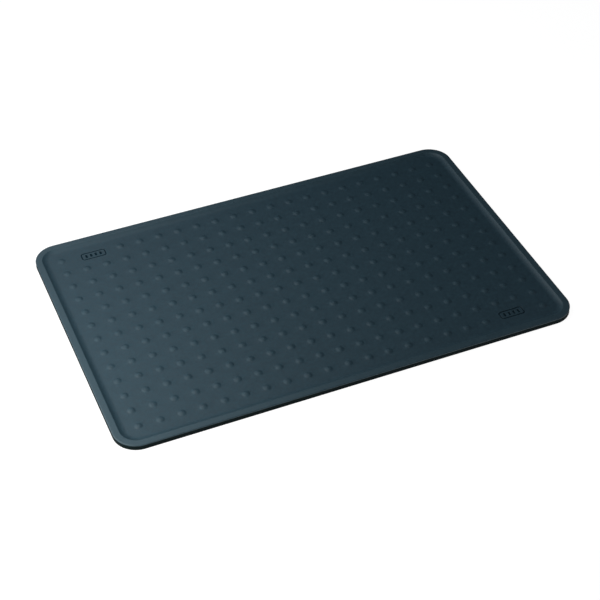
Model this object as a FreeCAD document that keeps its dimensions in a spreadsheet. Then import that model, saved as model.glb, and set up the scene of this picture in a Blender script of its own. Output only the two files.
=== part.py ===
"""Anti fatigue mat: a moulded top skin over a foam core on a grip sheet.

Frame: origin at the middle of the underside, +X along the long side, +Y to the back edge, +Z up. Millimetres.
"""
import FreeCAD, Part
import math
import os
import Sketcher

# ------------------------------------------------------------------ driving dimensions

DIMENSIONS = {
    # outline
    "length": 790.0,
    "depth": 510.0,
    "corner_radius": 40.0,
    # heights above the floor that the mat lies on
    "total_height": 10.0,
    "lip_height": 8.1,
    "tray_drop": 4.0,
    "base_thickness": 1.2,
    "skin_thickness": 1.6,
    # rim section
    "rim_width": 11.2,
    "edge_radius": 1.8,
    "crease_radius": 2.0,
    "cove_radius": 20.0,
    "slope_angle": 32.0,
    "core_rim_width": 12.0,
    # massage domes
    "dome_pitch": 35.2,
    "dome_columns": 21.0,
    "dome_rows": 13.0,
    "dome_diameter": 13.0,
    "dome_height": 1.3,
    "dome_root": 0.5,
    # debossed marks: a frame with upright bars in it, placed on the dome grid
    "mark_length": 44.0,
    "mark_width": 18.0,
    "mark_line": 2.2,
    "mark_corner": 5.0,
    "mark_sink": 0.5,
    "mark_bars": 4.0,
    "mark_bar_pitch": 8.4,
    "mark_bar_width": 4.0,
    "mark_bar_height": 8.0,
    "mark_bar_corner": 1.2,
    "mark_column": 8.4,
    "mark_row": 5.9,
}

# Each mark takes the place of this many domes, at the back left and at the front right.
DOMES_LEFT_OUT = 2

# Expressions over the sheet that more than one piece shares.
FLOOR_HEIGHT = "dims.total_height - dims.tray_drop"
WEB_DEPTH = f"dims.lip_height - ({FLOOR_HEIGHT} - dims.skin_thickness)"
SLOPE_TAPER = "-(90 - dims.slope_angle)"

# Two lengths count as the same within this many millimetres.
SAME = 0.01

# A pocket that takes away less than this many cubic millimetres points away from the solid.
LEAST_CUT = 1.0

document = FreeCAD.newDocument("anti_fatigue_mat")


def make_sheet():
    """The driving dimensions, one row each: name, value, alias."""
    sheet = document.addObject("Spreadsheet::Sheet", "dims")
    for row, (alias, value) in enumerate(DIMENSIONS.items(), start=1):
        sheet.set(f"A{row}", alias)
        sheet.set(f"B{row}", str(value))
        sheet.setAlias(f"B{row}", alias)
    document.recompute()
    return sheet


sheet = make_sheet()


def dim(alias):
    """A driving dimension as a plain number."""
    return float(sheet.get(alias))


# ------------------------------------------------------------------ sketch helpers


def new_body(name):
    body = document.addObject("PartDesign::Body", name)
    body.Label = name
    return body


def origin_plane(body, role):
    return next(o for o in body.Origin.OriginFeatures if o.Role == role)


def new_sketch(body, name, role="XY_Plane", x="0", y="0", z="0"):
    """A sketch on one of the body's own origin planes, moved by the expressions x, y and z.

    The three are along the sketch's own axes: z is its distance off the plane.
    """
    sketch = body.newObject("Sketcher::SketchObject", name)
    sketch.AttachmentSupport = [(origin_plane(body, role), "")]
    sketch.MapMode = "FlatFace"
    sketch.setExpression("AttachmentOffset.Base.x", x)
    sketch.setExpression("AttachmentOffset.Base.y", y)
    sketch.setExpression("AttachmentOffset.Base.z", z)
    return sketch


def name_last(sketch, name, expression):
    """Names the sketch's newest constraint and binds it to the sheet."""
    sketch.renameConstraint(sketch.ConstraintCount - 1, name)
    sketch.setExpression(f"Constraints.{name}", expression)


def rounded_rectangle(sketch, tag, size_x, size_y, radius):
    """A closed rounded rectangle about the sketch's origin.

    size_x, size_y and radius are pairs: the number now, and the expression that keeps it.
    """
    half_x = size_x[0] / 2
    half_y = size_y[0] / 2
    r = radius[0]
    vector = FreeCAD.Vector
    corners = [(1, 1, 0), (-1, 1, 90), (-1, -1, 180), (1, -1, 270)]
    arcs = []
    for sign_x, sign_y, start in corners:
        at = vector(sign_x * (half_x - r), sign_y * (half_y - r), 0)
        circle = Part.Circle(at, vector(0, 0, 1), r)
        arc = Part.ArcOfCircle(circle, math.radians(start), math.radians(start + 90))
        arcs.append(sketch.addGeometry(arc))
    lines = []
    for k in range(4):
        leaves = sketch.Geometry[arcs[k]].EndPoint
        meets = sketch.Geometry[arcs[(k + 1) % 4]].StartPoint
        lines.append(sketch.addGeometry(Part.LineSegment(leaves, meets)))
    constraint = Sketcher.Constraint
    for k in range(4):
        sketch.addConstraint(constraint("Tangent", arcs[k], 2, lines[k], 1))
        sketch.addConstraint(constraint("Tangent", lines[k], 2, arcs[(k + 1) % 4], 1))
    for k in range(1, 4):
        sketch.addConstraint(constraint("Equal", arcs[0], arcs[k]))
    sketch.addConstraint(constraint("Horizontal", lines[0]))
    sketch.addConstraint(constraint("Vertical", lines[1]))
    sketch.addConstraint(constraint("Symmetric", arcs[0], 3, arcs[2], 3, -1, 1))
    sketch.addConstraint(constraint("Radius", arcs[0], r))
    name_last(sketch, f"{tag}_radius", radius[1])
    sketch.addConstraint(constraint("DistanceX", lines[1], 1, lines[3], 1, size_x[0]))
    name_last(sketch, f"{tag}_x", size_x[1])
    sketch.addConstraint(constraint("DistanceY", lines[2], 1, lines[0], 1, size_y[0]))
    name_last(sketch, f"{tag}_y", size_y[1])


def outline(sketch, inset_alias=None):
    """The mat's outline, or the same moved in by a dimension of the sheet."""
    inset = dim(inset_alias) if inset_alias else 0.0
    less = f" - 2 * dims.{inset_alias}" if inset_alias else ""
    less_once = f" - dims.{inset_alias}" if inset_alias else ""
    rounded_rectangle(
        sketch,
        "outline",
        (dim("length") - 2 * inset, f"dims.length{less}"),
        (dim("depth") - 2 * inset, f"dims.depth{less}"),
        (dim("corner_radius") - inset, f"dims.corner_radius{less_once}"),
    )


def edges_at(shape, z, inset):
    """Names of the edges at height z that follow the outline moved in by inset."""
    half_x = dim("length") / 2
    half_y = dim("depth") / 2
    found = []
    for number, edge in enumerate(shape.Edges, start=1):
        middle = edge.valueAt((edge.FirstParameter + edge.LastParameter) / 2)
        points = [v.Point for v in edge.Vertexes] + [middle]
        if any(abs(p.z - z) > SAME for p in points):
            continue
        nearest = min(min(half_x - abs(p.x), half_y - abs(p.y)) for p in points)
        if abs(nearest - inset) < SAME:
            found.append(f"Edge{number}")
    return found


def add_fillet(body, base, name, edges, alias):
    fillet = body.newObject("PartDesign::Fillet", name)
    fillet.Base = (base, edges)
    fillet.setExpression("Radius", f"dims.{alias}")
    document.recompute()
    return fillet


def add_pad(body, sketch, name, length, down=False, taper=None):
    pad = body.newObject("PartDesign::Pad", name)
    pad.Profile = sketch
    pad.Reversed = down
    pad.setExpression("Length", length)
    if taper:
        pad.setExpression("TaperAngle", taper)
    sketch.Visibility = False
    document.recompute()
    return pad


def add_pocket(body, sketch, name, length, taper=None):
    pocket = body.newObject("PartDesign::Pocket", name)
    pocket.Profile = sketch
    pocket.setExpression("Length", length)
    if taper:
        pocket.setExpression("TaperAngle", taper)
    sketch.Visibility = False
    before = pocket.BaseFeature.Shape.Volume
    document.recompute()
    if pocket.Shape.Volume > before - LEAST_CUT:
        raise RuntimeError(f"{name} cuts nothing")
    return pocket


def repeat(body, feature, name, counts, pitch_alias):
    """The feature repeated along the body's axes: counts is {axis role: how many}."""
    steps = []
    for role, count in counts.items():
        step = body.newObject("PartDesign::LinearPattern", f"{name}_along_{role[0].lower()}")
        step.Direction = (origin_plane(body, role), [""])
        step.Occurrences = count
        step.setExpression("Length", f"{count - 1} * dims.{pitch_alias}")
        steps.append(step)
    grid = body.newObject("PartDesign::MultiTransform", name)
    grid.Originals = [feature]
    grid.Transformations = steps
    body.Tip = grid
    document.recompute()


# ------------------------------------------------------------------ top skin


def skin_slab(body):
    """The rim's ring at full height, and the thinner web that steps down under the tray."""
    rim = new_sketch(body, "rim_outline", z="dims.lip_height")
    outline(rim)
    add_pad(body, rim, "rim_block", "dims.total_height - dims.lip_height")
    web = new_sketch(body, "web_outline", z="dims.lip_height")
    outline(web, "core_rim_width")
    add_pad(body, web, "web_block", WEB_DEPTH, down=True, taper=SLOPE_TAPER)


def skin_tray(body):
    """The dished tray: a sloping pocket with a crisp crease at the rim and a wide cove at its foot."""
    mouth = new_sketch(body, "tray_mouth", z="dims.total_height")
    outline(mouth, "rim_width")
    tray = add_pocket(body, mouth, "tray", "dims.tray_drop", taper=SLOPE_TAPER)
    top = dim("total_height")
    drop = dim("tray_drop")
    rim = dim("rim_width")
    foot = rim + drop / math.tan(math.radians(dim("slope_angle")))
    cove = add_fillet(body, tray, "cove", edges_at(tray.Shape, top - drop, foot), "cove_radius")
    crease = add_fillet(body, cove, "crease", edges_at(cove.Shape, top, rim), "crease_radius")
    add_fillet(body, crease, "rounded_edge", edges_at(crease.Shape, top, 0), "edge_radius")


def dome_sketch(body, name, column, row):
    """Half of a low dome's section, standing on the tray floor, with a short root below it.

    Columns count to the right and rows to the back. The XZ plane's own normal points to the front.
    """
    x = f"({column} - (dims.dome_columns - 1) / 2) * dims.dome_pitch"
    off = f"((dims.dome_rows - 1) / 2 - {row}) * dims.dome_pitch"
    sketch = new_sketch(body, name, role="XZ_Plane", x=x, y=FLOOR_HEIGHT, z=off)
    radius = dim("dome_diameter") / 2
    height = dim("dome_height")
    root = dim("dome_root")
    ball = (radius**2 + height**2) / (2 * height)
    vector = FreeCAD.Vector
    circle = Part.Circle(vector(0, height - ball, 0), vector(0, 0, 1), ball)
    arc = Part.ArcOfCircle(circle, math.asin((ball - height) / ball), math.pi / 2)
    crown = sketch.addGeometry(arc)
    side = sketch.addGeometry(Part.LineSegment(vector(radius, 0, 0), vector(radius, -root, 0)))
    foot = sketch.addGeometry(Part.LineSegment(vector(radius, -root, 0), vector(0, -root, 0)))
    axis = sketch.addGeometry(Part.LineSegment(vector(0, -root, 0), vector(0, height, 0)))
    constraint = Sketcher.Constraint
    sketch.addConstraint(constraint("Coincident", crown, 1, side, 1))
    sketch.addConstraint(constraint("Coincident", side, 2, foot, 1))
    sketch.addConstraint(constraint("Coincident", foot, 2, axis, 1))
    sketch.addConstraint(constraint("Coincident", axis, 2, crown, 2))
    sketch.addConstraint(constraint("PointOnObject", crown, 3, -2))
    sketch.addConstraint(constraint("PointOnObject", crown, 2, -2))
    sketch.addConstraint(constraint("PointOnObject", crown, 1, -1))
    sketch.addConstraint(constraint("Vertical", side))
    sketch.addConstraint(constraint("Horizontal", foot))
    sketch.addConstraint(constraint("PointOnObject", foot, 2, -2))
    sketch.addConstraint(constraint("DistanceX", -1, 1, crown, 1, radius))
    name_last(sketch, "radius", "dims.dome_diameter / 2")
    sketch.addConstraint(constraint("DistanceY", -1, 1, crown, 2, height))
    name_last(sketch, "height", "dims.dome_height")
    sketch.addConstraint(constraint("DistanceY", side, 2, side, 1, root))
    name_last(sketch, "root", "dims.dome_root")
    return sketch


def domes(body, name, column, row, counts):
    """One dome at (column, row), repeated to the right and the back by counts."""
    sketch = dome_sketch(body, f"{name}_section", column, row)
    dome = body.newObject("PartDesign::Revolution", f"{name}_first" if counts else name)
    dome.Profile = sketch
    dome.ReferenceAxis = (sketch, ["V_Axis"])
    dome.Angle = 360
    sketch.Visibility = False
    document.recompute()
    if counts:
        repeat(body, dome, name, counts, "dome_pitch")


def skin_domes(body):
    """The whole grid but for two places beside the back left corner and two by the front right."""
    columns = int(dim("dome_columns"))
    rows = int(dim("dome_rows"))
    beside_mark = columns - 1 - DOMES_LEFT_OUT
    domes(body, "domes_middle", 0, 1, {"X_Axis": columns, "Y_Axis": rows - 2})
    domes(body, "domes_front", 0, 0, {"X_Axis": beside_mark})
    domes(body, "dome_front_corner", columns - 1, 0, {})
    domes(body, "domes_back", columns - beside_mark, rows - 1, {"X_Axis": beside_mark})
    domes(body, "dome_back_corner", 0, rows - 1, {})


def skin_mark(body, name, side):
    """A generic mark sunk in the floor: a rounded frame around a few upright bars.

    side is -1 at the back left corner and +1 at the front right one.
    """
    x = f"{side} * dims.mark_column * dims.dome_pitch"
    y = f"{-side} * dims.mark_row * dims.dome_pitch"
    length = dim("mark_length")
    width = dim("mark_width")
    line = dim("mark_line")
    corner = dim("mark_corner")
    frame = new_sketch(body, f"{name}_frame_sketch", x=x, y=y, z=FLOOR_HEIGHT)
    rounded_rectangle(
        frame,
        "outer",
        (length, "dims.mark_length"),
        (width, "dims.mark_width"),
        (corner, "dims.mark_corner"),
    )
    rounded_rectangle(
        frame,
        "inner",
        (length - 2 * line, "dims.mark_length - 2 * dims.mark_line"),
        (width - 2 * line, "dims.mark_width - 2 * dims.mark_line"),
        (corner - line, "dims.mark_corner - dims.mark_line"),
    )
    add_pocket(body, frame, f"{name}_frame", "dims.mark_sink")
    bars = int(dim("mark_bars"))
    first_bar = f"{x} - {(bars - 1) / 2} * dims.mark_bar_pitch"
    bar = new_sketch(body, f"{name}_bar_sketch", x=first_bar, y=y, z=FLOOR_HEIGHT)
    rounded_rectangle(
        bar,
        "bar",
        (dim("mark_bar_width"), "dims.mark_bar_width"),
        (dim("mark_bar_height"), "dims.mark_bar_height"),
        (dim("mark_bar_corner"), "dims.mark_bar_corner"),
    )
    first = add_pocket(body, bar, f"{name}_bar", "dims.mark_sink")
    repeat(body, first, f"{name}_bars", {"X_Axis": bars}, "mark_bar_pitch")


def make_top_skin():
    body = new_body("top_skin")
    skin_slab(body)
    skin_tray(body)
    skin_mark(body, "mark_back_left", -1)
    skin_mark(body, "mark_front_right", 1)
    skin_domes(body)
    return body


# ------------------------------------------------------------------ foam core and base sheet


def make_foam_core():
    """The cushion: a slab with the skin's web let into its top, so that the two meet face to face."""
    body = new_body("foam_core")
    slab = new_sketch(body, "core_outline", z="dims.base_thickness")
    outline(slab)
    add_pad(body, slab, "core_slab", "dims.lip_height - dims.base_thickness")
    seat = new_sketch(body, "seat_outline", z="dims.lip_height")
    outline(seat, "core_rim_width")
    add_pocket(body, seat, "seat", WEB_DEPTH, taper=SLOPE_TAPER)
    return body


def make_base_sheet():
    body = new_body("base_sheet")
    sheet_outline = new_sketch(body, "sheet_outline")
    outline(sheet_outline)
    add_pad(body, sheet_outline, "sheet_slab", "dims.base_thickness")
    return body


# ------------------------------------------------------------------ build, check, write


def check_document(bodies):
    for item in document.Objects:
        if "Invalid" in item.State or "Error" in item.State:
            raise RuntimeError(f"{item.Name} failed: {item.State}")
    for body in bodies:
        shape = body.Shape
        if shape.isNull() or not shape.isValid() or len(shape.Solids) != 1:
            raise RuntimeError(f"{body.Label} is not one valid solid")
        box = shape.optimalBoundingBox(False)
        print(
            f"{body.Label}: volume {shape.Volume / 1000:.1f} cm3, faces {len(shape.Faces)}, "
            f"{box.XLength:.2f} x {box.YLength:.2f} x {box.ZLength:.2f} mm, z from {box.ZMin:.2f}"
        )


def main():
    bodies = [make_top_skin(), make_foam_core(), make_base_sheet()]
    document.recompute()
    check_document(bodies)
    os.makedirs("parts", exist_ok=True)
    for body in bodies:
        body.Shape.exportStep(f"parts/{body.Label}.step")


main()
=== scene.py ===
"""Anti fatigue mat: the visual model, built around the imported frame.

Everything is in metres in the row frame: +X along the long side, +Y to the back, +Z up, and the origin under
the middle. A section is a list of (inset, height) points, and the inset is how far in from the mat's outline
a point lies.
"""
import math

import bpy
from mathutils import Matrix, Vector, noise
from mathutils.geometry import delaunay_2d_cdt


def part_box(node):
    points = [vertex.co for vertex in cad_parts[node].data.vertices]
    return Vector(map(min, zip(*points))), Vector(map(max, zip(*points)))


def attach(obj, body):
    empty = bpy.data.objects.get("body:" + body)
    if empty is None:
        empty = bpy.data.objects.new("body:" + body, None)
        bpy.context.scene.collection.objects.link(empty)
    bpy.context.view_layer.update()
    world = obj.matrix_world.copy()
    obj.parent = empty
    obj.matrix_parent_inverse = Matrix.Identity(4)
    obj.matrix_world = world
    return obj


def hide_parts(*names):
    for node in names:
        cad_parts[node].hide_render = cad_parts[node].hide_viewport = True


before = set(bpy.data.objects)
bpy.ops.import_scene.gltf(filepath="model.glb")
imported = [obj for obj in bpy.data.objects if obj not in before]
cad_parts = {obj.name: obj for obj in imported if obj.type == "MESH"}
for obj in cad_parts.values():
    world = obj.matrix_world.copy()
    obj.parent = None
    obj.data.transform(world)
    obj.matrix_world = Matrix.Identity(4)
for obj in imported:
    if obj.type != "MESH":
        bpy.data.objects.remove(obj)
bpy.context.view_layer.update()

MM = 0.001

# ------------------------------------------------------------------ sizes

CORE_LOW, CORE_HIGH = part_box("foam_core")
SKIN_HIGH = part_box("top_skin")[1]
HALF_X = CORE_HIGH.x
HALF_Y = CORE_HIGH.y
TOP = SKIN_HIGH.z
LIP = CORE_HIGH.z
BASE_TOP = CORE_LOW.z
CORNER = 40 * MM

# the skin's rim and tray
TRAY_DROP = 4.0 * MM
FLOOR = TOP - TRAY_DROP
EDGE_RUN = 2.2 * MM
RIM_WIDTH = 11.2 * MM
CREASE_RADIUS = 2.0 * MM
COVE_RADIUS = 20.0 * MM
SLOPE = math.radians(32)

# the skin's lower edge: a point on its flat underside, and a small round, as (inset, height above the lip)
LIP_UNDERSIDE = 1.2 * MM
LIP_ROUND = ((0.5 * MM, 0.0), (0.15 * MM, 0.05 * MM))

# the skin's web, which steps down inside the rim into a seat in the foam
SKIN_THICKNESS = 1.6 * MM
WEB_INSET = 12.0 * MM
WEB_LOW = FLOOR - SKIN_THICKNESS
WEB_FOOT = WEB_INSET + (LIP - WEB_LOW) / math.tan(SLOPE)

# massage domes, on a square grid with two left out beside each mark
PITCH = 35.2 * MM
COLUMNS = 21
ROWS = 13
DOMES_LEFT_OUT = 2
DOME_RADIUS = 6.5 * MM
DOME_HEIGHT = 1.3 * MM
DOME_BLEND = 0.3 * MM
DOME_FOOT = 7.8 * MM

# debossed marks, given by half sizes: a frame with upright bars in it
MARK_AT = (8.4 * PITCH, 5.9 * PITCH)
MARK_CENTRES = ((-MARK_AT[0], MARK_AT[1]), (MARK_AT[0], -MARK_AT[1]))
MARK_HALF = (22 * MM, 9 * MM)
MARK_CORNER = 5 * MM
MARK_LINE = 2.2 * MM
MARK_INNER_HALF = (MARK_HALF[0] - MARK_LINE, MARK_HALF[1] - MARK_LINE)
MARK_INNER_CORNER = MARK_CORNER - MARK_LINE
MARK_SINK = 0.5 * MM
MARK_DRAFT = 0.25 * MM
BAR_COUNT = 4
BAR_PITCH = 8.4 * MM
BAR_HALF = (2 * MM, 4 * MM)
BAR_CORNER = 1.2 * MM

# the skin's face lies above this height, marks and all, and the underside of its web lies below it
FACE_ABOVE = FLOOR - 2 * MARK_SINK

# the slight waviness of a moulded sheet that lies on a floor: height, waves to the metre, slice of the noise
WAVES = ((0.10 * MM, 9, 3.7), (0.035 * MM, 34, 11.2))

# the foam's cut edge is rounded at both ends, (inset, distance from that end), and bulges between them
FOAM_LOWER_END = ((1.6 * MM, 0.0), (0.75 * MM, 0.05 * MM), (0.45 * MM, 0.35 * MM))
FOAM_UPPER_END = ((0.5 * MM, 0.3 * MM), (0.8 * MM, 0.03 * MM), (1.6 * MM, 0.0))
FOAM_WALL_INSET = 0.38 * MM
FOAM_WALL_BULGE = 0.18 * MM
FOAM_WALL_LOW = BASE_TOP + 0.8 * MM
FOAM_WALL_HIGH = LIP - 0.7 * MM

# the base sheet's rolled edge: (inset, height), and (inset, distance below its top)
BASE_LOWER_EDGE = ((0.5 * MM, 0.0), (0.12 * MM, 0.12 * MM), (0.0, 0.4 * MM))
BASE_UPPER_EDGE = ((0.0, 0.35 * MM), (0.12 * MM, 0.1 * MM), (0.45 * MM, 0.0))

# the grip relief under the base sheet: staggered pips in a field that is sunk inside a plain border
GRIP_BORDER = 9 * MM
GRIP_BORDER_DRAFT = 0.5 * MM
PIP_PITCH = 12 * MM
PIP_ROW_STEP = PIP_PITCH * math.sqrt(3) / 2
PIP_RADIUS = 2.3 * MM
PIP_DRAFT = 0.35 * MM
PIP_HEIGHT = 0.45 * MM
PIP_CLEARANCE = 2.5 * MM

# how finely things are divided; loops have steps along X, along Y and round a corner
OUTLINE_STEPS = (84, 52, 20)
MARK_STEPS = (10, 5, 6)
EDGE_STEPS = 12
RIM_STEPS = 4
CREASE_STEPS = 6
COVE_STEPS = 14
FOAM_WALL_STEPS = 8
DOME_SIDES = 24
DOME_RINGS = 8
DOME_RING_POWER = 1.35
PIP_SIDES = 10

# loose points that divide the tray floor evenly: how many to a pitch, and how far from what bounds the floor
FLOOR_STEPS = 4
CLEAR_OF_EDGE = 2 * MM
CLEAR_OF_DOME = 0.8 * MM
CLEAR_OF_MARK = 2.5 * MM

# how near the floor's edge still counts as in the floor, and how near two points count as one
EDGE_SLACK = 0.01 * MM
MERGE_WITHIN = 1e-7

# ------------------------------------------------------------------ colours and light levels

SLATE_DARK = (0.0069, 0.0271, 0.0415)
SLATE_LIGHT = (0.0083, 0.0325, 0.0495)
SLATE_SPECK = (0.0145, 0.0500, 0.0720)
# the colour below is painted sheen: a paler slate mixed in towards the top of the rim
SLATE_PAINTED_SHEEN = (0.0250, 0.0545, 0.0720)
# the next three colours are darker slate, painted shade in the sunk marks: on their walls and on their beds
SLATE_SHADED = (0.0015, 0.0070, 0.0110)
RECESS_DARK = (0.0016, 0.0098, 0.0170)
RECESS_LIGHT = (0.0026, 0.0142, 0.0230)
# the colour below is painted shade, in the hollows of the foam's cells
FOAM_PIT = (0.0016, 0.0046, 0.0052)
FOAM_DARK = (0.0035, 0.0095, 0.0105)
FOAM_LIGHT = (0.0055, 0.0130, 0.0143)
RUBBER_DARK = (0.0060, 0.0092, 0.0098)
RUBBER_BLOOM = (0.0125, 0.0165, 0.0172)
STUDIO_GREY = (0.20, 0.20, 0.20)
WHITE = (1, 1, 1)

# the skin's mottle: waves to the metre, and its relief against the grain's
MOTTLE_SCALE = 160
MOTTLE_RELIEF = 6.0

# how much less rough the skin is at the top of the rim
RIM_POLISH = 0.05

# the floor glows a little below white, so that it stays pale and even where the lamps don't reach
FLOOR_GLOW = 0.95
WORLD_LIGHT = 0.069

# ------------------------------------------------------------------ camera and studio floor

AIM = Vector((-0.0108, -0.0352, 0.0))
VIEW_AZIMUTH = math.radians(-22.42)
VIEW_ELEVATION = math.radians(41.70)
VIEW_DISTANCE = 2.541
VIEW_ROLL = math.radians(-0.48)
LENS_MM = 91.1
SENSOR_MM = 36

STUDIO_REACH = 30.0
STUDIO_BELOW = 0.02 * MM


# ------------------------------------------------------------------ outlines and sections


def rounded_loop(centre, half, radius, steps):
    """Points of a closed rounded rectangle, counter-clockwise from the right end of the front side.

    steps says into how many parts a side along X, a side along Y and a corner are divided.
    """
    half_x, half_y = half
    x_steps, y_steps, corner_steps = steps
    points = []
    corners = [(1, -1, -90), (1, 1, 0), (-1, 1, 90), (-1, -1, 180)]
    for k, (sign_x, sign_y, start) in enumerate(corners):
        cx = centre[0] + sign_x * (half_x - radius)
        cy = centre[1] + sign_y * (half_y - radius)
        for step in range(corner_steps):
            angle = math.radians(start + 90 * step / corner_steps)
            points.append((cx + radius * math.cos(angle), cy + radius * math.sin(angle)))
        next_x, next_y, _ = corners[(k + 1) % 4]
        end_angle = math.radians(start + 90)
        ax = cx + radius * math.cos(end_angle)
        ay = cy + radius * math.sin(end_angle)
        bx = centre[0] + next_x * (half_x - radius) + radius * math.cos(end_angle)
        by = centre[1] + next_y * (half_y - radius) + radius * math.sin(end_angle)
        side_steps = y_steps if k % 2 == 0 else x_steps
        for step in range(side_steps):
            part = step / side_steps
            points.append((ax + (bx - ax) * part, ay + (by - ay) * part))
    return points


def outline(inset):
    """The mat's outline moved in by inset."""
    return rounded_loop((0, 0), (HALF_X - inset, HALF_Y - inset), CORNER - inset, OUTLINE_STEPS)


def inset_of(x, y):
    """How far a point lies inside the mat's outline."""
    dx = abs(x) - (HALF_X - CORNER)
    dy = abs(y) - (HALF_Y - CORNER)
    outside = math.hypot(max(dx, 0), max(dy, 0)) + min(max(dx, dy), 0)
    return CORNER - outside


def circle(centre, radius, height, sides):
    """Points of a level circle, counter-clockwise."""
    angles = [2 * math.pi * k / sides for k in range(sides)]
    return [(centre[0] + radius * math.cos(a), centre[1] + radius * math.sin(a), height) for a in angles]


def arc(centre, radius, start, end, steps):
    """Section points of an arc; angles from straight up, positive towards the middle."""
    angles = [start + (end - start) * k / steps for k in range(steps + 1)]
    return [(centre[0] + radius * math.sin(a), centre[1] + radius * math.cos(a)) for a in angles]


def skin_under_section():
    """The skin's underside, from its flat middle out to the lip."""
    return [(WEB_FOOT, WEB_LOW), (WEB_INSET, LIP), (LIP_UNDERSIDE, LIP)]


def skin_top_section():
    """From the lip's lower edge, over the rim and down to where the tray floor is flat.

    The outer edge is steep at the lip and then a soft crown: a superellipse.
    """
    section = [(inset, LIP + rise) for inset, rise in LIP_ROUND]
    for k in range(1, EDGE_STEPS + 1):
        turn = math.pi / 2 * k / EDGE_STEPS
        section.append((EDGE_RUN * (1 - math.cos(turn)), LIP + (TOP - LIP) * math.sqrt(math.sin(turn))))
    rim_end = RIM_WIDTH - CREASE_RADIUS * math.tan(SLOPE / 2)
    section += [(EDGE_RUN + (rim_end - EDGE_RUN) * k / RIM_STEPS, TOP) for k in range(1, RIM_STEPS)]
    section += arc((rim_end, TOP - CREASE_RADIUS), CREASE_RADIUS, 0, SLOPE, CREASE_STEPS)
    cove_end = RIM_WIDTH + TRAY_DROP / math.tan(SLOPE) + COVE_RADIUS * math.tan(SLOPE / 2)
    section += arc((cove_end, FLOOR + COVE_RADIUS), COVE_RADIUS, math.pi + SLOPE, math.pi, COVE_STEPS)
    return section


def core_section():
    """The foam core, from its underside up its cut edge and into its seat."""
    section = [(inset, BASE_TOP + rise) for inset, rise in FOAM_LOWER_END]
    for k in range(FOAM_WALL_STEPS + 1):
        part = k / FOAM_WALL_STEPS
        inset = FOAM_WALL_INSET - FOAM_WALL_BULGE * math.sin(math.pi * part)
        section.append((inset, FOAM_WALL_LOW + (FOAM_WALL_HIGH - FOAM_WALL_LOW) * part))
    section += [(inset, LIP - drop) for inset, drop in FOAM_UPPER_END]
    return section + [(WEB_INSET, LIP), (WEB_FOOT, WEB_LOW)]


def base_section():
    """The base sheet, from the sunk field under it round its edge and onto its top."""
    section = [(GRIP_BORDER, PIP_HEIGHT), (GRIP_BORDER - GRIP_BORDER_DRAFT, 0.0)]
    section += BASE_LOWER_EDGE
    return section + [(inset, BASE_TOP - drop) for inset, drop in BASE_UPPER_EDGE]


# ------------------------------------------------------------------ mesh building


class Shell:
    """A mesh being put together from loops of points."""

    def __init__(self):
        self.points = []
        self.faces = []

    def add(self, points):
        """Adds points and gives their numbers."""
        first = len(self.points)
        self.points.extend(points)
        return list(range(first, len(self.points)))

    def add_loop(self, loop, height):
        """Adds a level loop and gives its points' numbers."""
        return self.add([(x, y, height) for x, y in loop])

    def add_section(self, section):
        """Adds the mat's outline at each point of a section, each bridged to the next; gives the loops."""
        rings = [self.add_loop(outline(inset), height) for inset, height in section]
        for lower, upper in zip(rings, rings[1:]):
            self.bridge(lower, upper)
        return rings

    def bridge(self, outer, inner):
        """Quads between two counter-clockwise loops with as many points, facing up on inner's side."""
        count = len(outer)
        for k in range(count):
            after = (k + 1) % count
            self.faces.append((outer[k], outer[after], inner[after], inner[k]))

    def cap(self, loop, down=False):
        """One face over a counter-clockwise loop, facing up or down."""
        self.faces.append(tuple(reversed(loop)) if down else tuple(loop))

    def fill(self, loops, loose, keep, down=False):
        """Triangles over the plane region bounded by the loops, through the loose points.

        keep(x, y) says whether a triangle's middle lies in the region.
        """
        numbers = [n for loop in loops for n in loop] + loose
        place = {n: k for k, n in enumerate(numbers)}
        edges = [
            (place[loop[k]], place[loop[(k + 1) % len(loop)]]) for loop in loops for k in range(len(loop))
        ]
        flat = [Vector(self.points[n][:2]) for n in numbers]
        # output type 0 gives all triangles of the hull, from which keep picks
        _, _, triangles, origins, _, _ = delaunay_2d_cdt(flat, edges, [], 0, MERGE_WITHIN)
        for triangle in triangles:
            corners = [numbers[origins[k][0]] for k in triangle]
            x = sum(self.points[n][0] for n in corners) / 3
            y = sum(self.points[n][1] for n in corners) / 3
            if keep(x, y):
                self.cap(corners, down)

    def make(self, name, smooth_degrees):
        """The finished object, shaded smooth but for edges sharper than the angle."""
        mesh = bpy.data.meshes.new(name)
        mesh.from_pydata(self.points, [], self.faces)
        mesh.validate()
        mesh.polygons.foreach_set("use_smooth", [True] * len(mesh.polygons))
        mesh.set_sharp_from_angle(angle=math.radians(smooth_degrees))
        mesh.update()
        piece = bpy.data.objects.new(name, mesh)
        bpy.context.scene.collection.objects.link(piece)
        return piece


# ------------------------------------------------------------------ top skin


def dome_centres():
    """Places of the domes; two are left out at the back left and two at the front right."""
    left_out = range(1, 1 + DOMES_LEFT_OUT)
    for row in range(ROWS):
        for column in range(COLUMNS):
            if row == ROWS - 1 and column in left_out:
                continue
            if row == 0 and COLUMNS - 1 - column in left_out:
                continue
            yield ((column - (COLUMNS - 1) / 2) * PITCH, (row - (ROWS - 1) / 2) * PITCH)


def dome_rise(r):
    """Height of a dome at r from its middle: a ball's cap that runs softly into the floor."""
    ball = (DOME_RADIUS**2 + DOME_HEIGHT**2) / (2 * DOME_HEIGHT)
    cap = math.sqrt(ball**2 - r**2) - (ball - DOME_HEIGHT)
    return (cap + math.sqrt(cap**2 + DOME_BLEND**2)) / 2


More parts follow.
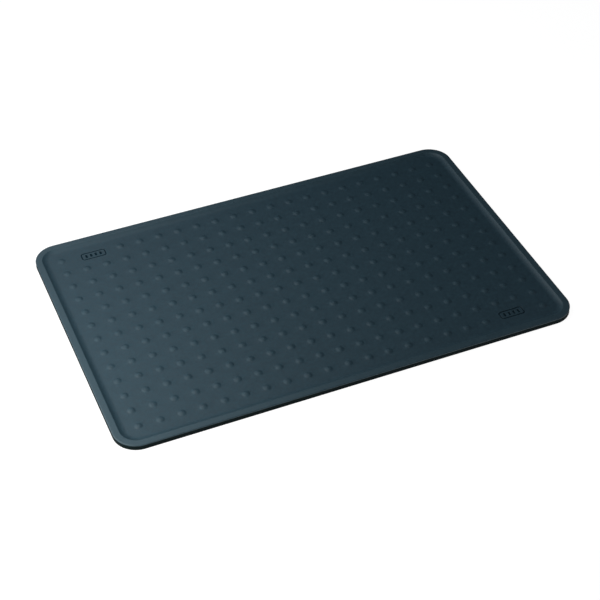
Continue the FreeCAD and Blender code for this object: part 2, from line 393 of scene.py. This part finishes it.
def add_dome(shell, centre):
    """One dome as rings about its top; gives its outer loop, which lies in the floor."""
    outer = shell.add(circle(centre, DOME_FOOT, FLOOR, DOME_SIDES))
    previous = outer
    for ring in range(DOME_RINGS - 1, 0, -1):
        # rings lie closer together towards the foot, where the dome turns into the floor
        r = DOME_FOOT * (1 - (1 - ring / DOME_RINGS) ** DOME_RING_POWER)
        loop = shell.add(circle(centre, r, FLOOR + dome_rise(r), DOME_SIDES))
        shell.bridge(previous, loop)
        previous = loop
    top = shell.add([(*centre, FLOOR + dome_rise(0.0))])[0]
    for k in range(DOME_SIDES):
        shell.faces.append((previous[k], previous[(k + 1) % DOME_SIDES], top))
    return outer


def bar_centres(centre):
    """Places of the bars in the mark at centre."""
    return [(centre[0] + (k - (BAR_COUNT - 1) / 2) * BAR_PITCH, centre[1]) for k in range(BAR_COUNT)]


def add_groove_wall(shell, centre, half, radius, inward):
    """A drafted wall from the floor down to a mark's bed; gives its upper and lower loops."""
    shift = MARK_DRAFT if inward else -MARK_DRAFT
    low_half = (half[0] - shift, half[1] - shift)
    upper = shell.add_loop(rounded_loop(centre, half, radius, MARK_STEPS), FLOOR)
    lower = shell.add_loop(rounded_loop(centre, low_half, radius - shift, MARK_STEPS), FLOOR - MARK_SINK)
    if inward:
        shell.bridge(upper, lower)
    else:
        shell.bridge(lower, upper)
    return upper, lower


def add_mark(shell, centre):
    """A sunk frame with sunk bars in it; gives the loops that lie in the floor."""
    outer, outer_low = add_groove_wall(shell, centre, MARK_HALF, MARK_CORNER, True)
    inner, inner_low = add_groove_wall(shell, centre, MARK_INNER_HALF, MARK_INNER_CORNER, False)
    shell.bridge(outer_low, inner_low)
    loops = [outer, inner]
    for at in bar_centres(centre):
        bar, bar_low = add_groove_wall(shell, at, BAR_HALF, BAR_CORNER, True)
        shell.cap(bar_low)
        loops.append(bar)
    return loops


def in_box(x, y, centre, half, margin=0.0):
    """True inside a rectangle, or within a margin of it."""
    return abs(x - centre[0]) < half[0] + margin and abs(y - centre[1]) < half[1] + margin


def in_rounded(x, y, centre, half, radius):
    """True inside a rounded rectangle."""
    dx = max(abs(x - centre[0]) - (half[0] - radius), 0)
    dy = max(abs(y - centre[1]) - (half[1] - radius), 0)
    return math.hypot(dx, dy) < radius and in_box(x, y, centre, half)


def in_mark_groove(x, y, centre):
    """True over the frame's groove or a bar."""
    if not in_rounded(x, y, centre, MARK_HALF, MARK_CORNER):
        return False
    if not in_rounded(x, y, centre, MARK_INNER_HALF, MARK_INNER_CORNER):
        return True
    return any(in_rounded(x, y, at, BAR_HALF, BAR_CORNER) for at in bar_centres(centre))


def nearest_place(x, y):
    """The nearest place of the dome grid, as (column, row) counted from the middle."""
    return round(x / PITCH), round(y / PITCH)


def waviness(x, y):
    """How far the skin lies off its true height at a point; it dies out at the outer edge."""
    rise = 0.0
    for height, rate, slot in WAVES:
        rise += height * noise.noise(Vector((x * rate, y * rate, slot)))
    return rise * min(1, max(0, inset_of(x, y) / EDGE_RUN))


def floor_grid():
    """Evenly spaced points over the whole mat, in step with the domes."""
    step = PITCH / FLOOR_STEPS
    reach_x = int(HALF_X / step)
    reach_y = int(HALF_Y / step)
    for a in range(-reach_x, reach_x + 1):
        for b in range(-reach_y, reach_y + 1):
            yield a * step, b * step


def build_top_skin():
    """The skin as one closed mesh, with its domes and marks."""
    shell = Shell()
    rings = shell.add_section(skin_under_section() + skin_top_section())
    shell.cap(rings[0], down=True)
    centres = list(dome_centres())
    loops = [rings[-1]]
    for centre in centres:
        loops.append(add_dome(shell, centre))
    for centre in MARK_CENTRES:
        loops.extend(add_mark(shell, centre))
    taken = {nearest_place(x, y) for x, y in centres}
    floor_edge = skin_top_section()[-1][0]
    # a dome's outer loop has straight sides, and their middles lie this far from the dome's
    side_radius = DOME_FOOT * math.cos(math.pi / DOME_SIDES)

    def on_dome(x, y, radius):
        column, row = nearest_place(x, y)
        return (column, row) in taken and math.hypot(x - column * PITCH, y - row * PITCH) < radius

    def is_clear(x, y):
        if inset_of(x, y) <= floor_edge + CLEAR_OF_EDGE or on_dome(x, y, DOME_FOOT + CLEAR_OF_DOME):
            return False
        return not any(in_box(x, y, centre, MARK_HALF, CLEAR_OF_MARK) for centre in MARK_CENTRES)

    def in_floor(x, y):
        if inset_of(x, y) < floor_edge - EDGE_SLACK or on_dome(x, y, side_radius):
            return False
        return not any(in_mark_groove(x, y, centre) for centre in MARK_CENTRES)

    loose = shell.add([(x, y, FLOOR) for x, y in floor_grid() if is_clear(x, y)])
    shell.fill(loops, loose, in_floor)
    shell.points = [(x, y, z + waviness(x, y) if z > FACE_ABOVE else z) for x, y, z in shell.points]
    return shell.make("skin_moulding", smooth_degrees=40)


def add_height_mask(piece, name, nought, one):
    """A point attribute that goes from 0 to 1 as the surface goes from one height to the other."""
    values = []
    for vertex in piece.data.vertices:
        part = (vertex.co.z - nought) / (one - nought)
        values.append(min(1.0, max(0.0, part)))
    attribute = piece.data.attributes.new(name, "FLOAT", "POINT")
    attribute.data.foreach_set("value", values)


def line_marks(piece, material):
    """Gives the beds of the sunk marks a material of their own, which is painted with shade."""
    piece.data.materials.append(material)
    for face in piece.data.polygons:
        heights = [piece.data.vertices[n].co.z for n in face.vertices]
        if min(heights) > FACE_ABOVE and max(heights) < FLOOR - MARK_SINK / 2:
            face.material_index = 1


# ------------------------------------------------------------------ foam core


def build_foam_core():
    """The foam slab, with its cut edge and the seat for the skin's web."""
    shell = Shell()
    rings = shell.add_section(core_section())
    shell.cap(rings[0], down=True)
    shell.cap(rings[-1])
    return shell.make("foam_slab", smooth_degrees=50)


# ------------------------------------------------------------------ base sheet


def pip_place(x, y):
    """The nearest place of the pip field, as (column, row); columns lie half a step over in odd rows."""
    row = round(y / PIP_ROW_STEP)
    offset = 0.5 * (row % 2)
    return round(x / PIP_PITCH - offset) + offset, row


def pip_centres():
    """Places of the grip pips, clear of the plain border, as {(column, row): (x, y)}."""
    reach_rows = int(HALF_Y / PIP_ROW_STEP)
    reach_columns = int(HALF_X / PIP_PITCH)
    centres = {}
    for row in range(-reach_rows, reach_rows + 1):
        for number in range(-reach_columns, reach_columns + 1):
            column = number + 0.5 * (row % 2)
            x = column * PIP_PITCH
            y = row * PIP_ROW_STEP
            if inset_of(x, y) > GRIP_BORDER + PIP_RADIUS + PIP_CLEARANCE:
                centres[(column, row)] = (x, y)
    return centres


def add_pip(shell, centre):
    """One grip pip, a low cone's stump that stands on the floor; gives its upper loop."""
    upper = shell.add(circle(centre, PIP_RADIUS, PIP_HEIGHT, PIP_SIDES))
    lower = shell.add(circle(centre, PIP_RADIUS - PIP_DRAFT, 0.0, PIP_SIDES))
    shell.bridge(lower, upper)
    shell.cap(lower, down=True)
    return upper


def build_base_sheet():
    """The anti-slip sheet, with its rolled edge and the pips under it."""
    shell = Shell()
    rings = shell.add_section(base_section())
    shell.cap(rings[-1])
    centres = pip_centres()
    loops = [rings[0]]
    for centre in centres.values():
        loops.append(add_pip(shell, centre))

    def between_pips(x, y):
        if inset_of(x, y) < GRIP_BORDER:
            return False
        column, row = pip_place(x, y)
        if (column, row) not in centres:
            return True
        from_pip = math.hypot(x - column * PIP_PITCH, y - row * PIP_ROW_STEP)
        return from_pip > PIP_RADIUS * math.cos(math.pi / PIP_SIDES)

    shell.fill(loops, [], between_pips, down=True)
    return shell.make("grip_sheet", smooth_degrees=35)


# ------------------------------------------------------------------ materials


def new_material(name):
    """A material with its Principled shader; gives (material, nodes, links, shader)."""
    material = bpy.data.materials.new(name)
    material.use_nodes = True
    nodes = material.node_tree.nodes
    links = material.node_tree.links
    return material, nodes, links, nodes["Principled BSDF"]


def noise_texture(nodes, links, place, scale, detail=3.0, roughness=0.55):
    """Noise over the object's own coordinates; scale is in waves to the metre."""
    texture = nodes.new("ShaderNodeTexNoise")
    texture.inputs["Scale"].default_value = scale
    texture.inputs["Detail"].default_value = detail
    texture.inputs["Roughness"].default_value = roughness
    links.new(place.outputs["Object"], texture.inputs["Vector"])
    return texture.outputs["Fac"]


def point_attribute(nodes, name):
    """The value that a mesh's points carry under a name."""
    node = nodes.new("ShaderNodeAttribute")
    node.attribute_name = name
    return node.outputs["Fac"]


def map_range(nodes, links, value, low, high, from_low=0.0, from_high=1.0):
    """The value carried from one range to another, and held inside it."""
    node = nodes.new("ShaderNodeMapRange")
    node.inputs["From Min"].default_value = from_low
    node.inputs["From Max"].default_value = from_high
    node.inputs["To Min"].default_value = low
    node.inputs["To Max"].default_value = high
    links.new(value, node.inputs["Value"])
    return node.outputs["Result"]


def mix_colour(nodes, links, factor, first, second):
    """A mix of two colours by a factor; first and second are colours or sockets.

    The node's colour sockets share their names with its other ones, so they are taken by place.
    """
    node = nodes.new("ShaderNodeMix")
    node.data_type = "RGBA"
    links.new(factor, node.inputs["Factor"])
    for colour, socket in ((first, node.inputs[6]), (second, node.inputs[7])):
        if isinstance(colour, tuple):
            socket.default_value = (*colour, 1)
        else:
            links.new(colour, socket)
    return node.outputs[2]


def combine(nodes, links, operation, first, second):
    """A sum, difference or product; first and second are numbers or sockets."""
    node = nodes.new("ShaderNodeMath")
    node.operation = operation
    for value, socket in ((first, node.inputs[0]), (second, node.inputs[1])):
        if isinstance(value, (int, float)):
            socket.default_value = value
        else:
            links.new(value, socket)
    return node.outputs[0]


def add_bump(nodes, links, shader, height, distance, strength):
    """Fine relief on a shader; a height of 1 stands for the distance."""
    bump = nodes.new("ShaderNodeBump")
    bump.inputs["Distance"].default_value = distance
    bump.inputs["Strength"].default_value = strength
    links.new(height, bump.inputs["Height"])
    links.new(bump.outputs["Normal"], shader.inputs["Normal"])


def skin_material():
    """Slate moulded polyurethane: satin, faintly mottled, finely grained, and paler the higher it stands,
    which is a painted sheen.
    """
    material, nodes, links, shader = new_material("slate_polyurethane")
    place = nodes.new("ShaderNodeTexCoord")
    cloud = noise_texture(nodes, links, place, scale=14)
    mottle = noise_texture(nodes, links, place, scale=MOTTLE_SCALE)
    grain = noise_texture(nodes, links, place, scale=1900, detail=2.0)
    rim_sheen = point_attribute(nodes, "rim_sheen")
    sunk = point_attribute(nodes, "sunk")

    base = mix_colour(nodes, links, cloud, SLATE_DARK, SLATE_LIGHT)
    specks = map_range(nodes, links, mottle, low=0.0, high=0.55, from_low=0.40, from_high=0.75)
    speckled = mix_colour(nodes, links, specks, base, SLATE_SPECK)
    # painted sheen: the colour is mixed paler from the tray floor up to the rim top
    sheen_amount = map_range(nodes, links, rim_sheen, low=0.0, high=0.5)
    with_sheen = mix_colour(nodes, links, sheen_amount, speckled, SLATE_PAINTED_SHEEN)
    # painted shade: the skin is painted darker down the walls of the sunk marks
    links.new(mix_colour(nodes, links, sunk, with_sheen, SLATE_SHADED), shader.inputs["Base Color"])

    satin = map_range(nodes, links, mottle, low=0.50, high=0.60, from_low=0.3, from_high=0.7)
    polish = combine(nodes, links, "MULTIPLY", rim_sheen, RIM_POLISH)
    links.new(combine(nodes, links, "SUBTRACT", satin, polish), shader.inputs["Roughness"])
    shader.inputs["Specular IOR Level"].default_value = 0.5

    relief = combine(nodes, links, "ADD", grain, combine(nodes, links, "MULTIPLY", mottle, MOTTLE_RELIEF))
    add_bump(nodes, links, shader, relief, distance=0.05 * MM, strength=0.6)
    return material


def recess_material():
    """The beds of the sunk marks: left matt by the mould, and shaded, since little light gets into them."""
    material, nodes, links, shader = new_material("slate_recess")
    place = nodes.new("ShaderNodeTexCoord")
    mottle = noise_texture(nodes, links, place, scale=MOTTLE_SCALE)
    # painted shade: the beds' darker colour stands in for the shade in the marks
    base = mix_colour(nodes, links, mottle, RECESS_DARK, RECESS_LIGHT)
    links.new(base, shader.inputs["Base Color"])
    links.new(map_range(nodes, links, mottle, low=0.8, high=0.95), shader.inputs["Roughness"])
    shader.inputs["Specular IOR Level"].default_value = 0.10
    return material


def foam_material():
    """Black closed-cell foam: fine round cells on the cut edge, with painted shade in their hollows."""
    material, nodes, links, shader = new_material("black_foam")
    place = nodes.new("ShaderNodeTexCoord")
    cells = nodes.new("ShaderNodeTexVoronoi")
    cells.inputs["Scale"].default_value = 1500
    links.new(place.outputs["Object"], cells.inputs["Vector"])
    cloud = noise_texture(nodes, links, place, scale=60)
    pits = map_range(nodes, links, cells.outputs["Distance"], low=0.0, high=1.0, from_low=0.1, from_high=0.6)
    base = mix_colour(nodes, links, cloud, FOAM_DARK, FOAM_LIGHT)
    # painted shade: the middles of the cells, where they are hollow, are painted darker
    links.new(mix_colour(nodes, links, pits, FOAM_PIT, base), shader.inputs["Base Color"])
    links.new(map_range(nodes, links, cloud, low=0.75, high=0.9), shader.inputs["Roughness"])
    shader.inputs["Specular IOR Level"].default_value = 0.06
    add_bump(nodes, links, shader, pits, distance=0.12 * MM, strength=0.8)
    return material


def rubber_material():
    """Black anti-slip rubber with a fine matt grain and a little pale bloom."""
    material, nodes, links, shader = new_material("grip_rubber")
    place = nodes.new("ShaderNodeTexCoord")
    cloud = noise_texture(nodes, links, place, scale=22, detail=5.0)
    grain = noise_texture(nodes, links, place, scale=900)
    bloom = map_range(nodes, links, cloud, low=0.0, high=0.5, from_low=0.45, from_high=0.8)
    base = mix_colour(nodes, links, bloom, RUBBER_DARK, RUBBER_BLOOM)
    links.new(base, shader.inputs["Base Color"])
    links.new(map_range(nodes, links, grain, low=0.62, high=0.8), shader.inputs["Roughness"])
    shader.inputs["Specular IOR Level"].default_value = 0.12
    add_bump(nodes, links, shader, grain, distance=0.06 * MM, strength=0.7)
    return material


def stage_material():
    """The studio floor: matt, and lit mostly by its own glow."""
    material, _, _, shader = new_material("studio_floor")
    shader.inputs["Base Color"].default_value = (*STUDIO_GREY, 1)
    shader.inputs["Roughness"].default_value = 0.9
    shader.inputs["Specular IOR Level"].default_value = 0.1
    shader.inputs["Emission Color"].default_value = (*WHITE, 1)
    shader.inputs["Emission Strength"].default_value = FLOOR_GLOW
    return material


# ------------------------------------------------------------------ stage, camera, light


def towards(azimuth, elevation):
    """Unit vector to a viewer or lamp; azimuth 0 is the front, positive to the right."""
    level = math.cos(elevation)
    return Vector((math.sin(azimuth) * level, -math.cos(azimuth) * level, math.sin(elevation)))


def make_camera():
    """The scene's camera, which looks at AIM."""
    data = bpy.data.cameras.new("camera")
    data.lens = LENS_MM
    data.sensor_width = SENSOR_MM
    camera = bpy.data.objects.new("camera", data)
    bpy.context.scene.collection.objects.link(camera)
    place = AIM + towards(VIEW_AZIMUTH, VIEW_ELEVATION) * VIEW_DISTANCE
    turn = (AIM - place).to_track_quat("-Z", "Y").to_matrix() @ Matrix.Rotation(VIEW_ROLL, 3, "Z")
    camera.matrix_world = Matrix.Translation(place) @ turn.to_4x4()
    bpy.context.scene.camera = camera


def make_softbox(name, aim, azimuth, elevation, distance, size, power, colour):
    """A square area lamp at a distance from the point that it faces; angles in degrees, power in watts."""
    data = bpy.data.lights.new(name, "AREA")
    data.shape = "SQUARE"
    data.size = size
    data.energy = power
    data.color = colour
    lamp = bpy.data.objects.new(name, data)
    bpy.context.scene.collection.objects.link(lamp)
    off = towards(math.radians(azimuth), math.radians(elevation)) * distance
    place = Vector(aim) + off
    turn = (-off).to_track_quat("-Z", "Y")
    lamp.matrix_world = Matrix.Translation(place) @ turn.to_matrix().to_4x4()


def make_stage():
    """A wide floor just under the mat."""
    mesh = bpy.data.meshes.new("studio_floor")
    signs = ((-1, -1), (1, -1), (1, 1), (-1, 1))
    corners = [(x * STUDIO_REACH, y * STUDIO_REACH, -STUDIO_BELOW) for x, y in signs]
    mesh.from_pydata(corners, [], [(0, 1, 2, 3)])
    mesh.materials.append(stage_material())
    floor = bpy.data.objects.new("studio_floor", mesh)
    bpy.context.scene.collection.objects.link(floor)


def make_world():
    """Dim even light from all round, which shows as a backdrop as pale as the floor."""
    world = bpy.data.worlds.new("studio")
    world.use_nodes = True
    nodes = world.node_tree.nodes
    links = world.node_tree.links
    ray = nodes.new("ShaderNodeLightPath")
    strength = map_range(nodes, links, ray.outputs["Is Camera Ray"], low=WORLD_LIGHT, high=FLOOR_GLOW)
    nodes["Background"].inputs["Color"].default_value = (*WHITE, 1)
    links.new(strength, nodes["Background"].inputs["Strength"])
    bpy.context.scene.world = world
    bpy.context.scene.view_settings.view_transform = "Standard"


def make_lamps():
    """The main light comes from the back left and the left, with a weak fill at the right."""
    make_softbox(
        "back_left",
        aim=(0, 0, 0),
        azimuth=-140,
        elevation=55,
        distance=1.1,
        size=1.2,
        power=6.7,
        colour=(0.90, 0.95, 1.0),
    )
    make_softbox(
        "front_left",
        aim=(0, 0, 0),
        azimuth=-78,
        elevation=30,
        distance=0.8,
        size=0.7,
        power=5.75,
        colour=(0.95, 1.0, 0.96),
    )
    make_softbox(
        "right_fill",
        aim=(0.2, -0.12, 0),
        azimuth=60,
        elevation=35,
        distance=0.45,
        size=0.4,
        power=0.15,
        colour=(1.0, 0.95, 1.0),
    )


# ------------------------------------------------------------------ put together


def place_piece(piece, node, material):
    """Gives a piece its material, hangs it on the root body, and hides the CAD part that it stands for."""
    piece.data.materials.append(material)
    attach(piece, "root")
    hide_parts(node)


make_camera()
make_stage()
make_world()
make_lamps()

skin = build_top_skin()
# a mask from the tray floor up to the rim top, which carries the painted sheen and the rim's polish
add_height_mask(skin, "rim_sheen", nought=FLOOR, one=TOP)
# a mask that rises down the walls of the sunk marks, which carries painted shade
add_height_mask(skin, "sunk", nought=FLOOR - 0.3 * MARK_SINK, one=FLOOR - 0.8 * MARK_SINK)
place_piece(skin, "top_skin", skin_material())
line_marks(skin, recess_material())

foam = build_foam_core()
place_piece(foam, "foam_core", foam_material())

grip = build_base_sheet()
place_piece(grip, "base_sheet", rubber_material())
